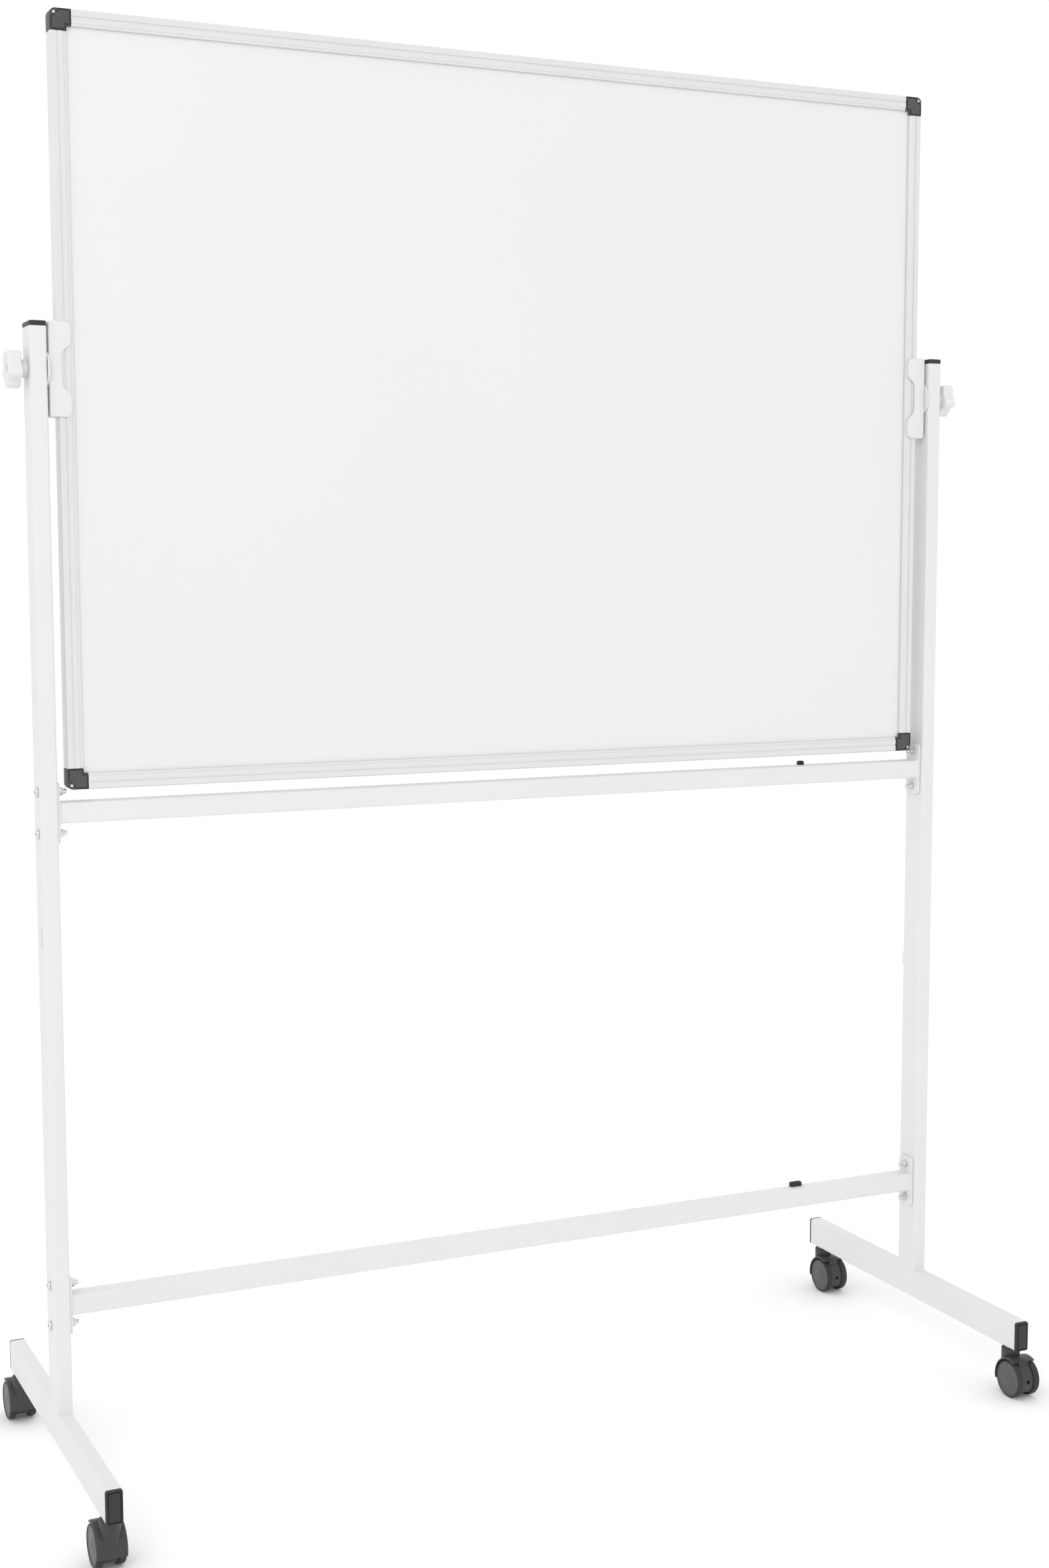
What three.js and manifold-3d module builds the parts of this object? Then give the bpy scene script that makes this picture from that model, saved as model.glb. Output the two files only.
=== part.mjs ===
// Rolling double-sided whiteboard: a framed board hung on two pivots between uprights on castored feet.
// Millimetres, +Z up, front of the board faces -Y, origin on the floor under the middle of the stand.
import * as THREE from "three";
import { mergeVertices } from "three/addons/utils/BufferGeometryUtils.js";
import Module from "manifold-3d";

const wasm = await Module();
wasm.setup();
const { Manifold } = wasm;

// ---- driving dimensions ----
const GAP = 0.3; // left between pieces that touch on the real object

const BOARD = { width: 1200, height: 900, bottom: 863, depth: 20, face: 19 };
const GROOVE = { from: 7.6, to: 9.4, deep: 0.9 }; // line along the frame's faces
const PANEL = { inset: 11.5, sheet: 0.4, core: 10.8 };
const CORNER = { arm: 25, leg: 19.6, proud: 0.6, radius: 7, tenon: 14 };

const TUBE = { wide: 20, deep: 40, radius: 3, wall: 1.5 }; // uprights and feet
const UPRIGHT = { inner: 614, top: 1403, cap: 6.2 };
const FOOT = { bottom: 63.5, half: 260, flange: 4.5 };
const PLUG = { long: 12, clear: 0.35 }; // the part of an end cap inside its tube

const BAR = { side: 25, radius: 2.5, wall: 1.5, upper: 836, lower: 234.5 };
const PLATE = { thick: 3, deep: 30, tall: 72, radius: 5 };
const BOLT = { r: 3, spacing: 50, head: 6, headTall: 3, nut: 5.6, nutTall: 5.2, end: 600 };

const PIVOT = { z: 1355, r: 4, end: 656.5, head: 7.6, headTall: 4.5 };
const CLAMP = { tall: 110, lobe: 584.5, waist: 595.5, outer: 610.8, tab: 3.3 };
const SPACER = { r: 21.7, thick: 2.4 };
const KNOB = { r: 23, lobes: 5, dip: 3.2, hub: 10.5, hubTall: 8, thick: 16 };

const CASTER = { y: 235, trail: 17, wheel: 25, tread: 9.5, web: 15.8, axle: 3, stem: 4 };
const HOOD = { wide: 36, top: 61.7, r: 28.7, clear: 1.2, neck: 12.5, round: 3, web: 22.5, lift: 9 };

const PAD = { x: 428, y: 7, stem: 2.5 };

// ---- materials ----
const paint = (color, roughness, metalness) =>
  new THREE.MeshStandardMaterial({ color, roughness, metalness });
const WHITE_COAT = paint(0xeeeeec, 0.42, 0.1);
const FRAME_METAL = paint(0xdcdddd, 0.4, 0.6);
const LACQUER = paint(0xf4f4f3, 0.18, 0.0);
const CARD = paint(0xb99f78, 0.9, 0.0);
const DARK_PLASTIC = paint(0x2b2c2e, 0.55, 0.0);
const WHITE_PLASTIC = paint(0xeceae6, 0.48, 0.0);
const BLACK_NYLON = paint(0x232426, 0.5, 0.0);
const WHEEL_NYLON = paint(0x3c3d40, 0.45, 0.0);
const ZINC = paint(0x8d8f92, 0.35, 0.9);
const RUBBER = paint(0x1b1b1c, 0.8, 0.0);

// ---- solid helpers ----
function solid(geometry) {
  const bare = geometry.index ? geometry.toNonIndexed() : geometry.clone();
  bare.deleteAttribute("normal");
  bare.deleteAttribute("uv");
  const merged = mergeVertices(bare, 1e-4);
  return new Manifold(
    new wasm.Mesh({
      numProp: 3,
      vertProperties: Float32Array.from(merged.attributes.position.array),
      triVerts: Uint32Array.from(merged.index.array),
    }),
  );
}

function geometryOf(body) {
  const data = body.getMesh();
  const geometry = new THREE.BufferGeometry();
  geometry.setAttribute("position", new THREE.BufferAttribute(Float32Array.from(data.vertProperties), 3));
  geometry.setIndex(new THREE.BufferAttribute(Uint32Array.from(data.triVerts), 1));
  const flat = geometry.toNonIndexed();
  flat.computeVertexNormals();
  return flat;
}

const box = (x0, x1, y0, y1, z0, z1) =>
  solid(new THREE.BoxGeometry(x1 - x0, y1 - y0, z1 - z0)).translate([
    (x0 + x1) / 2,
    (y0 + y1) / 2,
    (z0 + z1) / 2,
  ]);

// A rod along X from x0 to x1 at height z, or along Z or Y with the helpers under it.
function rodX(r, x0, x1, y, z, sides = 12) {
  const rod = new THREE.CylinderGeometry(r, r, x1 - x0, sides).rotateZ(Math.PI / 2);
  return solid(rod).translate([(x0 + x1) / 2, y, z]);
}
function rodZ(r, z0, z1, x, y, sides = 12) {
  const rod = new THREE.CylinderGeometry(r, r, z1 - z0, sides).rotateX(Math.PI / 2);
  return solid(rod).translate([x, y, (z0 + z1) / 2]);
}
function rodY(r, y0, y1, x, z, sides = 12) {
  return solid(new THREE.CylinderGeometry(r, r, y1 - y0, sides)).translate([x, (y0 + y1) / 2, z]);
}

function roundedRect(w, h, r) {
  const s = new THREE.Shape();
  s.absarc(w / 2 - r, h / 2 - r, r, 0, Math.PI / 2);
  s.absarc(-w / 2 + r, h / 2 - r, r, Math.PI / 2, Math.PI);
  s.absarc(-w / 2 + r, -h / 2 + r, r, Math.PI, 1.5 * Math.PI);
  s.absarc(w / 2 - r, -h / 2 + r, r, 1.5 * Math.PI, 2 * Math.PI);
  s.closePath();
  return s;
}

// Pushes a shape up +Z from 0 to tall; round is the size of the rounding on both ends' edges.
function slab(shape, tall, round = 0, curveSegments = 1) {
  const geometry = new THREE.ExtrudeGeometry(shape, {
    depth: tall - 2 * round,
    bevelEnabled: round > 0,
    bevelThickness: round,
    bevelSize: round,
    bevelOffset: -round,
    bevelSegments: round > 1.5 ? 2 : 1,
    curveSegments,
  });
  return solid(geometry).translate([0, 0, round]);
}

function tube(w, h, r, wall, length) {
  const outer = slab(roundedRect(w, h, r), length);
  const inner = slab(roundedRect(w - 2 * wall, h - 2 * wall, r - wall), length + 2);
  return outer.subtract(inner.translate([0, 0, -1]));
}

const root = new THREE.Group();
root.name = "rolling_whiteboard";
function add(name, body, material) {
  const mesh = new THREE.Mesh(geometryOf(body), material);
  mesh.name = name;
  root.add(mesh);
}

const SIDES = [
  ["left", -1],
  ["right", 1],
];
const ENDS = [
  ["front", -1],
  ["rear", 1],
];
const upright = UPRIGHT.inner + TUBE.wide / 2; // centre of an upright and of a foot
const outerFace = UPRIGHT.inner + TUBE.wide;
const footTop = FOOT.bottom + TUBE.deep;

// ---- uprights, feet and their end caps ----
function makeUpright(side) {
  const from = footTop + GAP;
  let body = tube(TUBE.wide, TUBE.deep, TUBE.radius, TUBE.wall, UPRIGHT.top - from);
  body = body.translate([side * upright, 0, from]);
  const drill = (r, z) => rodX(r, side * upright - 15, side * upright + 15, 0, z);
  body = body.subtract(drill(PIVOT.r + GAP, PIVOT.z));
  for (const bar of [BAR.upper, BAR.lower])
    for (const dz of [-1, 1]) body = body.subtract(drill(BOLT.r + GAP, bar + (dz * BOLT.spacing) / 2));
  if (side < 0) return body.subtract(rodX(3.3, -outerFace - 1, -outerFace + 3, 0, 687));
  return body.subtract(rodY(3.3, TUBE.deep / 2 - 3, TUBE.deep / 2 + 1, upright, 557));
}

function endCap(flange) {
  const lid = slab(roundedRect(TUBE.wide, TUBE.deep, TUBE.radius), flange, 0.8);
  const inside = TUBE.wall + PLUG.clear;
  const plug = roundedRect(TUBE.wide - 2 * inside, TUBE.deep - 2 * inside, 1.2);
  return lid.add(slab(plug, PLUG.long + 1).translate([0, 0, -PLUG.long]));
}

function makeFoot(side) {
  const length = 2 * (FOOT.half - FOOT.flange - GAP);
  let body = tube(TUBE.wide, TUBE.deep, TUBE.radius, TUBE.wall, length).rotate([-90, 0, 0]);
  body = body.translate([side * upright, -length / 2, FOOT.bottom + TUBE.deep / 2]);
  for (const [, end] of ENDS) {
    const hole = rodZ(CASTER.stem + GAP, FOOT.bottom - 1, FOOT.bottom + 3, side * upright, end * CASTER.y);
    body = body.subtract(hole);
  }
  return body;
}

for (const [sideName, side] of SIDES) {
  add(`${sideName}_upright`, makeUpright(side), WHITE_COAT);
  const cap = endCap(UPRIGHT.cap).translate([side * upright, 0, UPRIGHT.top + GAP]);
  add(`${sideName}_upright_cap`, cap, DARK_PLASTIC);
  add(`${sideName}_foot`, makeFoot(side), WHITE_COAT);
  for (const [endName, end] of ENDS) {
    const footCap = endCap(FOOT.flange)
      .rotate([end > 0 ? -90 : 90, 0, 0])
      .translate([side * upright, end * (FOOT.half - FOOT.flange), FOOT.bottom + TUBE.deep / 2]);
    add(`${sideName}_${endName}_foot_cap`, footCap, DARK_PLASTIC);
  }
}

// ---- crossbars with their end plates, and the bolts through the uprights ----
function makeCrossbar(z) {
  const plateOut = UPRIGHT.inner - GAP;
  const reach = plateOut - PLATE.thick + 0.5;
  const bar = tube(BAR.side, BAR.side, BAR.radius, BAR.wall, 2 * reach).rotate([0, 90, 0]);
  let body = bar.translate([-reach, 0, z]);
  for (const [, side] of SIDES) {
    const plate = slab(roundedRect(PLATE.tall, PLATE.deep, PLATE.radius), PLATE.thick, 0.4)
      .rotate([0, 90, 0])
      .translate([side > 0 ? plateOut - PLATE.thick : -plateOut, 0, z]);
    body = body.add(plate);
  }
  for (const [, side] of SIDES) {
    const drill = (r, dz) => rodX(r, side * plateOut - 5, side * plateOut + 5, 0, z + dz);
    body = body
      .subtract(drill(BOLT.r + GAP, BOLT.spacing / 2))
      .subtract(drill(BOLT.r + GAP, -BOLT.spacing / 2))
      .subtract(drill(7, 0));
  }
  return body.subtract(rodZ(PAD.stem + GAP, z + 8, z + 20, PAD.x, PAD.y));
}

// Pan-head screw from the outer side of an upright, with its nut behind the crossbar's plate.
function makeBolt(side, z) {
  const head = new THREE.LatheGeometry(
    [
      [0, 0],
      [BOLT.head, 0],
      [BOLT.head, 1.2],
      [BOLT.head - 2.2, BOLT.headTall],
      [0, BOLT.headTall],
    ].map(([r, h]) => new THREE.Vector2(r, h)),
    12,
  );
  const nutFrom = UPRIGHT.inner - PLATE.thick - 2 * GAP - BOLT.nutTall;
  const nut = rodX(BOLT.nut, nutFrom, nutFrom + BOLT.nutTall, 0, z, 6);
  const driver = rodX(1.8, outerFace + GAP + 1.4, outerFace + GAP + 5, 0, z, 6);
  const body = solid(head.rotateZ(-Math.PI / 2))
    .translate([outerFace + GAP, 0, z])
    .add(rodX(BOLT.r, BOLT.end, outerFace + GAP + 1, 0, z, 10))
    .add(nut)
    .subtract(driver);
  return side > 0 ? body : body.rotate([0, 0, 180]);
}

for (const [barName, z] of [
  ["upper", BAR.upper],
  ["lower", BAR.lower],
]) {
  add(`${barName}_crossbar`, makeCrossbar(z), WHITE_COAT);
  for (const [sideName, side] of SIDES) {
    add(`${barName}_${sideName}_bolt_a`, makeBolt(side, z + BOLT.spacing / 2), ZINC);
    add(`${barName}_${sideName}_bolt_b`, makeBolt(side, z - BOLT.spacing / 2), ZINC);
  }
}

// ---- small push-in pieces: pads on the crossbars, plugs in the uprights ----
function makePad(width, tall, barZ) {
  const top = barZ + BAR.side / 2 + GAP;
  const pad = slab(roundedRect(width, 8, 2.5), tall, 1).translate([PAD.x, PAD.y, top]);
  return pad.add(rodZ(PAD.stem, top - 6, top + 1.5, PAD.x, PAD.y));
}
add("upper_bar_pad", makePad(9, 5, BAR.upper), RUBBER);
add("lower_bar_pad", makePad(18, 6, BAR.lower), RUBBER);

function makeSidePlug() {
  const face = slab(roundedRect(22, 12, 5.5), 1.6, 0.5).rotate([0, -90, 0]);
  const stem = rodX(3, -outerFace - 1, -outerFace + 6, 0, 687);
  return face.translate([-outerFace - GAP, 0, 687]).add(stem);
}
function makeRearPlug() {
  const face = slab(roundedRect(12, 22, 5.5), 8, 2).rotate([-90, 0, 0]);
  const stem = rodY(3, TUBE.deep / 2 - 6, TUBE.deep / 2 + 2, upright, 557);
  return face.translate([upright, TUBE.deep / 2 + GAP, 557]).add(stem);
}
add("left_upright_plug", makeSidePlug(), WHITE_PLASTIC);
add("right_upright_plug", makeRearPlug(), WHITE_PLASTIC);

// ---- casters: stem, hooded body with its axle, two wheels ----
function makeStem(x, y) {
  const top = FOOT.bottom - GAP;
  return rodZ(CASTER.stem, 47, 88, x, y, 10).add(rodZ(8, HOOD.top + GAP, top, x, y, 14));
}

// Side outline of the hood in (y, z), with the swivel axis at y = 0 and the wheels trailing to +y.
// It stops short on the trailing side, where the wheels and the web between them are open.
function hoodOutline() {
  const s = new THREE.Shape();
  s.absarc(CASTER.trail, CASTER.wheel, HOOD.r, 0.36 * Math.PI, 1.08 * Math.PI);
  s.lineTo(CASTER.trail - 2, 15);
  s.lineTo(CASTER.trail + 14, 30);
  s.closePath();
  return s;
}

function hoodBody() {
  const side = slab(hoodOutline(), HOOD.wide, HOOD.round, 7)
    .translate([0, 0, -HOOD.wide / 2])
    .rotate([90, 0, 90]);
  const room = CASTER.wheel + HOOD.clear;
  const half = CASTER.web / 2;
  const wheelRoom = (sign) =>
    rodX(room, sign > 0 ? half : -60, sign > 0 ? 60 : -half, CASTER.trail, CASTER.wheel, 28);
  const web = rodX(HOOD.web, -half, half, CASTER.trail, CASTER.wheel, 28)
    .subtract(box(-half - 1, half + 1, -20, 60, -5, HOOD.lift));
  const rim = CASTER.trail + HOOD.web;
  const axle = half + CASTER.tread - 2;
  return side
    .add(rodZ(HOOD.neck, 32, HOOD.top, 0, 0, 24))
    .subtract(wheelRoom(1))
    .subtract(wheelRoom(-1))
    .add(web)
    .add(rodX(CASTER.axle, -axle, axle, CASTER.trail, CASTER.wheel))
    .subtract(rodY(2.6, rim - 4, rim + 2, 0, CASTER.wheel, 10))
    .subtract(rodZ(CASTER.stem + 0.2, 46, 70, 0, 0));
}

// Wheel turned about X, its plain side at x = 0 and its dished face at x = tread.
function wheelBody() {
  const t = CASTER.tread;
  const r = CASTER.wheel;
  const bore = t - 1.6;
  const profile = [
    [0, bore],
    [CASTER.axle + 0.2, bore],
    [CASTER.axle + 0.2, 0],
    [r - 1.6, 0],
    [r, 1.6],
    [r, t - 2.4],
    [r - 2.4, t],
    [r - 3.6, t],
    [r - 4.2, t - 0.8],
    [0, t - 0.8],
  ].map(([radius, along]) => new THREE.Vector2(radius, along));
  return solid(new THREE.LatheGeometry(profile, 24).rotateZ(-Math.PI / 2));
}

const hood = hoodBody();
const wheel = wheelBody();
for (const [sideName, side] of SIDES)
  for (const [endName, end] of ENDS) {
    const name = `${sideName}_${endName}`;
    const x = side * upright;
    const y = end * CASTER.y;
    const turn = side < 0 ? 0 : 180; // left casters trail to the rear, right casters to the front
    const place = (body) => body.rotate([0, 0, turn]).translate([x, y, 0]);
    const out = CASTER.web / 2 + 0.4;
    const hub = [0, CASTER.trail, CASTER.wheel];
    add(`${name}_caster_stem`, makeStem(x, y), ZINC);
    add(`${name}_caster_body`, place(hood), BLACK_NYLON);
    const wheelA = wheel.translate([out, hub[1], hub[2]]);
    const wheelB = wheel.rotate([0, 0, 180]).translate([-out, hub[1], hub[2]]);
    add(`${name}_wheel_a`, place(wheelA), WHEEL_NYLON);
    add(`${name}_wheel_b`, place(wheelB), WHEEL_NYLON);
  }

// ---- board: frame profiles, corners, panel ----
// Frame section: u runs in from the frame's outer edge, v through its depth.
function frameSection() {
  const d = BOARD.depth / 2;
  const slot = PANEL.core / 2 + PANEL.sheet + GAP * 1.5;
  const half = [
    [0, d - 1],
    [1, d],
    [GROOVE.from, d],
    [GROOVE.from, d - GROOVE.deep],
    [GROOVE.to, d - GROOVE.deep],
    [GROOVE.to, d],
    [15.4, d],
    [16.2, d - 1],
    [BOARD.face, d - 1],
    [BOARD.face, slot],
    [PANEL.inset - 0.5, slot],
  ];
  const points = [...half, ...half.map(([u, v]) => [u, -v]).reverse()];
  const s = new THREE.Shape(points.map(([u, v]) => new THREE.Vector2(u, v)));
  const w = d - 2.4;
  s.holes.push(
    new THREE.Path([
      new THREE.Vector2(1.5, -w),
      new THREE.Vector2(PANEL.inset - 1.9, -w),
      new THREE.Vector2(PANEL.inset - 1.9, w),
      new THREE.Vector2(1.5, w),
    ]),
  );
  return s;
}

const boardTop = BOARD.bottom + BOARD.height;
const boardMid = BOARD.bottom + BOARD.height / 2;

// A bar of the section, centred along local X, its outer edge up at z = 0 and its inside below.
function frameBar(length) {
  const bar = slab(frameSection(), length).translate([0, 0, -length / 2]);
  return bar.rotate([0, 90, 0]);
}

const armGap = CORNER.arm + GAP;
add("frame_top", frameBar(BOARD.width - 2 * armGap).translate([0, 0, boardTop]), FRAME_METAL);
add(
  "frame_bottom",
  frameBar(BOARD.width - 2 * armGap).rotate([0, 180, 0]).translate([0, 0, BOARD.bottom]),
  FRAME_METAL,
);
for (const [sideName, side] of SIDES) {
  const bar = frameBar(BOARD.height - 2 * armGap)
    .rotate([0, side * 90, 0])
    .translate([(side * BOARD.width) / 2, 0, boardMid]);
  add(`frame_${sideName}`, bar, FRAME_METAL);
}

// Corner piece in local (x, z) with its outer corner at the origin and its arms along +x and +z.
function cornerBody() {
  const { arm, leg, radius, proud } = CORNER;
  const s = new THREE.Shape();
  s.moveTo(arm, 0);
  s.lineTo(arm, leg);
  s.lineTo(leg + 1.5, leg);
  s.absarc(leg + 1.5, leg + 1.5, 1.5, 1.5 * Math.PI, Math.PI, true);
  s.lineTo(leg, arm);
  s.lineTo(0, arm);
  s.lineTo(0, radius);
  s.absarc(radius, radius, radius, Math.PI, 1.5 * Math.PI);
  s.closePath();
  const deep = BOARD.depth + 2 * proud;
  const block = slab(s, deep, 0.8, 2).rotate([90, 0, 0]).translate([0, deep / 2, 0]);
  const slot = PANEL.core / 2 + PANEL.sheet + GAP * 1.5;
  const cut = PANEL.inset - 0.3;
  const t = BOARD.depth / 2 - 2.4 - 0.35;
  const u0 = 1.5 + 0.35;
  const u1 = PANEL.inset - 1.9 - 0.35;
  const tip = arm + CORNER.tenon;
  return block
    .subtract(box(cut, 40, -slot, slot, cut, 40))
    .add(box(arm - 2, tip, -t, t, u0, u1))
    .add(box(u0, u1, -t, t, arm - 2, tip));
}

const corner = cornerBody();
const halfWide = BOARD.width / 2;
const CORNERS = [
  ["bottom_left", 0, -halfWide, BOARD.bottom],
  ["top_left", 90, -halfWide, boardTop],
  ["top_right", 180, halfWide, boardTop],
  ["bottom_right", 270, halfWide, BOARD.bottom],
];
for (const [name, turn, x, z] of CORNERS)
  add(`corner_${name}`, corner.rotate([0, turn, 0]).translate([x, 0, z]), DARK_PLASTIC);

function panelLayer(y0, y1) {
  const x = halfWide - PANEL.inset;
  return box(-x, x, y0, y1, BOARD.bottom + PANEL.inset, boardTop - PANEL.inset);
}
const coreHalf = PANEL.core / 2;
add("board_front_sheet", panelLayer(-coreHalf - 0.1 - PANEL.sheet, -coreHalf - 0.1), LACQUER);
add("board_core", panelLayer(-coreHalf, coreHalf), CARD);
add("board_back_sheet", panelLayer(coreHalf + 0.1, coreHalf + 0.1 + PANEL.sheet), LACQUER);

// ---- pivots: clamp over the frame's edge, bolt, spacer, knob (made for +X, turned for -X) ----
// Clamp outline in (x, z) about the pivot: two lobes over the frame and a narrow waist between them.
function clampOutline() {
  const { lobe, waist, outer } = CLAMP;
  const h = CLAMP.tall / 2;
  const s = new THREE.Shape();
  s.moveTo(outer, -h + 2);
  s.lineTo(outer, h - 2);
  s.quadraticCurveTo(outer, h, outer - 2, h);
  s.lineTo(lobe + 7, h);
  s.quadraticCurveTo(lobe, h, lobe, h - 7);
  s.lineTo(lobe, h - 20);
  s.bezierCurveTo(lobe, h - 33, waist, h - 28, waist, h - 42);
  s.lineTo(waist, -h + 42);
  s.bezierCurveTo(waist, -h + 28, lobe, -h + 33, lobe, -h + 20);
  s.lineTo(lobe, -h + 7);
  s.quadraticCurveTo(lobe, -h, lobe + 7, -h);
  s.lineTo(outer - 2, -h);
  s.quadraticCurveTo(outer, -h, outer, -h + 2);
  return s;
}

function clampBody() {
  const half = BOARD.depth / 2 + GAP;
  const deep = 2 * (half + CLAMP.tab);
  const inner = BOARD.width / 2 + GAP;
  return slab(clampOutline(), deep, 1.2, 4)
    .rotate([90, 0, 0])
    .translate([0, deep / 2, PIVOT.z])
    .subtract(box(500, inner, -half, half, PIVOT.z - 80, PIVOT.z + 80))
    .subtract(rodX(PIVOT.r + GAP, 590, 620, 0, PIVOT.z))
    .subtract(rodX(PIVOT.head + GAP, inner - 1, inner + PIVOT.headTall + 2 * GAP, 0, PIVOT.z));
}

function pivotBolt() {
  const from = BOARD.width / 2 + 2 * GAP;
  return rodX(PIVOT.head, from, from + PIVOT.headTall, 0, PIVOT.z).add(
    rodX(PIVOT.r, from + 1, PIVOT.end, 0, PIVOT.z),
  );
}

function spacerBody() {
  const from = CLAMP.outer + GAP;
  return rodX(SPACER.r, from, from + SPACER.thick - 0.05, 0, PIVOT.z, 32).subtract(
    rodX(PIVOT.r + GAP, from - 1, from + 5, 0, PIVOT.z),
  );
}

function knobBody() {
  const s = new THREE.Shape();
  const steps = 40;
  for (let i = 0; i < steps; i++) {
    const a = (2 * Math.PI * i) / steps;
    const r = KNOB.r - KNOB.dip + KNOB.dip * Math.cos(KNOB.lobes * a);
    if (i) s.lineTo(r * Math.cos(a), r * Math.sin(a));
    else s.moveTo(r, 0);
  }
  s.closePath();
  const from = outerFace + GAP;
  const head = slab(s, KNOB.thick, 2.2).rotate([0, 90, 0]).translate([from + KNOB.hubTall, 0, PIVOT.z]);
  const end = from + KNOB.hubTall + KNOB.thick;
  return head
    .add(rodX(KNOB.hub, from, from + KNOB.hubTall + 1, 0, PIVOT.z, 20))
    .subtract(rodX(11, end - 1, end + 1, 0, PIVOT.z, 20))
    .subtract(rodX(PIVOT.r + 0.2, from - 1, PIVOT.end + GAP, 0, PIVOT.z));
}

const pieces = [
  ["pivot_clamp", clampBody(), WHITE_PLASTIC],
  ["pivot_bolt", pivotBolt(), ZINC],
  ["pivot_spacer", spacerBody(), WHITE_PLASTIC],
  ["clamp_knob", knobBody(), WHITE_PLASTIC],
];
for (const [sideName, side] of SIDES)
  for (const [name, body, material] of pieces)
    add(`${name}_${sideName}`, side > 0 ? body : body.rotate([0, 0, 180]), material);

export default root;
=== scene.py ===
# Looks of the rolling whiteboard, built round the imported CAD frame.
# Shapes are written in millimetres and turned into metres where the meshes are made.
import math

import bmesh
import bpy
from mathutils import Matrix, Vector


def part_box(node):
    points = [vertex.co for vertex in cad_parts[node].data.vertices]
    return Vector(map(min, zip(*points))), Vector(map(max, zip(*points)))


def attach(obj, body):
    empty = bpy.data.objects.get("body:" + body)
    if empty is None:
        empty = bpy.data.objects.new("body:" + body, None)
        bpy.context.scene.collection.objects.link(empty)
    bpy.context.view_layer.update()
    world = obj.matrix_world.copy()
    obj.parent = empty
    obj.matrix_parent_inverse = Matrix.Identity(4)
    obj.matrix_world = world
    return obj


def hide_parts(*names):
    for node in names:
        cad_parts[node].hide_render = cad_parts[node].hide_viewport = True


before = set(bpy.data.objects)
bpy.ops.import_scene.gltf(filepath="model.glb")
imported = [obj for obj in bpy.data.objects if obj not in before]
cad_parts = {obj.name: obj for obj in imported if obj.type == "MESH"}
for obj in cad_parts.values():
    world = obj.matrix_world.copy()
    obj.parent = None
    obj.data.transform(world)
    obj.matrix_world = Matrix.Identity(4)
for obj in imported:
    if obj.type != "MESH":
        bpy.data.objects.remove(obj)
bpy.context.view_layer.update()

MM = 0.001
SIDES = (("left", -1), ("right", 1))
ENDS = (("front", -1), ("rear", 1))
BARS = ("upper", "lower")

# Stand, in millimetres.
WALL = 1.5             # thickness of every tube's wall
TUBE_ROUND = 3.0       # corner radius of the uprights and feet
BAR_SIDE = 25.0        # the crossbars' square section
BAR_ROUND = 2.5        # and its corner radius
PLATE = 3.0            # thickness of a crossbar's end plate
PLATE_ROUND = 5.0
PLATE_EDGE = 0.5       # its softened edge
BEAD_ROUND = 2.4       # corner radius of a weld bead
BEAD_RIPPLE = 0.006    # depth of its ripple, as a share of its size
HEAD_TALL = 3.0        # a crossbar bolt's head
NUT_TALL = 5.2
NUT_GAP = 0.6          # between the nut and the end plate
PAD_ROUND = 2.2        # corner radius of the small pads on the crossbars
PLUG_ROUND = 5.4       # corner radius of the plugs in the uprights
BORE_R = 4.3           # hole for a pivot bolt

# Casters.
AXLE_Z = 25.0          # height of the axle, which is the wheel's radius
HOOD_HALF = 18.0       # half the hood's width
HOOD_OUT = 28.7        # its outer and inner radius about the axle
HOOD_IN = 26.2
HOOD_SOFT = 2.2        # the rounding of its edges
HOOD_FIRST = math.radians(64.8)    # where its arc starts and ends
HOOD_LAST = math.radians(194.4)
WEB_HALF = 7.9         # half the web between the wheels
WEB_OUT = 27.6         # the web's radius under the hood
WEB_R = 22.5           # and about the axle, where it is open
WEB_LIFT = 9.0         # its flat bottom's height off the floor
WEB_HOLE = 2.6         # radius of the small hole in its rim
NECK_R = 12.5          # radius of the neck over the hood
NECK_FOOT = 27.2       # radius about the axle at which the neck starts, inside the hood's shell
NECK_SHOULDER = 60.9   # height at which the neck's edge starts to roll over
STEM_BORE = 4.2        # radius of the stem's hole up through the neck
TREAD_BANDS = 12       # bands of the wheel's profile that are tread; the rest are the disc

# Board.
CORNER_ARM = 25.0      # a corner cap's reach along the frame
CORNER_LEG = 19.6      # its width across each arm
CORNER_ROUND = 7.0     # radius of its outer corner
CORNER_DROP = 0.45     # how far its body lies below its raised pads
CORNER_PLUG = 11.2     # where the profiles' space in it starts
CORNER_SPACE = 6.3     # half the thickness of that space
GROOVE = 1.7           # the groove round a raised pad
LOBE_X, WAIST_X, CLAMP_X = 584.5, 595.5, 610.8    # the clamp's edges, from the board's middle
CLAMP_HALF = 55.0      # half its height
CLAMP_SPACE = 10.3     # half the gap that the frame fills
CLAMP_SEAT = 600.3     # where that gap ends
KNOB_R = 23            # the knob's radius at a lobe
KNOB_LOBE = 3.2        # half the depth between its lobes
KNOB_LOBES = 5
KNOB_NECK = 8          # length of its neck
KNOB_DEEP = 24         # and of the whole knob
KNOB_ROLL = 2.4        # rounding of the grip's edges


def box_mm(node):
    """Lowest and highest corner of a CAD node, in millimetres."""
    low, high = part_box(node)
    return low * 1000, high * 1000


def middle(node):
    """Middle of a CAD node's box, in millimetres."""
    low, high = box_mm(node)
    return (low + high) / 2


# ---------------------------------------------------------------- materials
def grey(value, warm=0.0):
    return (value + warm, value, value - warm, 1)


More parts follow.
